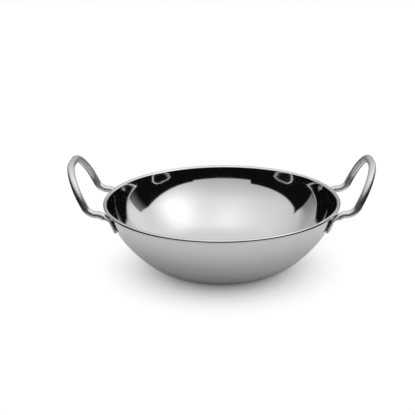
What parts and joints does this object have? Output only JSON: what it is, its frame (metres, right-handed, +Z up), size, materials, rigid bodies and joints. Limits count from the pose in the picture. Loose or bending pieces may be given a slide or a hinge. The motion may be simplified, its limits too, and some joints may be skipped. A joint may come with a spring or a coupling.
{
  "type": "balti dish",
  "caption": "Round steel balti dish with a flat base, curved flaring wall, rolled rim and raised wire loop handles spot-welded at the sides, for serving or cooking curry.",
  "frame": {"origin": "centre of the flat base, on the surface the dish stands on", "axes": "+Z up along the axis of the bowl, +X towards the right handle, -Y towards the viewer of the picture"},
  "size_m": [0.1914, 0.15, 0.0707],
  "materials": {
    "bowl_steel": "mirror-polished stainless steel, not plated",
    "wire_steel": "polished stainless steel wire",
    "weld_steel": "fused stainless steel, dull"
  },
  "bodies": {
    "root": {"bowl": "bowl_steel", "handle_right": "wire_steel", "handle_left": "wire_steel", "spot_weld_right_front_lower": "weld_steel", "spot_weld_right_front_upper": "weld_steel", "spot_weld_right_rear_lower": "weld_steel", "spot_weld_right_rear_upper": "weld_steel", "spot_weld_left_front_lower": "weld_steel", "spot_weld_left_front_upper": "weld_steel", "spot_weld_left_rear_lower": "weld_steel", "spot_weld_left_rear_upper": "weld_steel"}
  },
  "joints": []
}
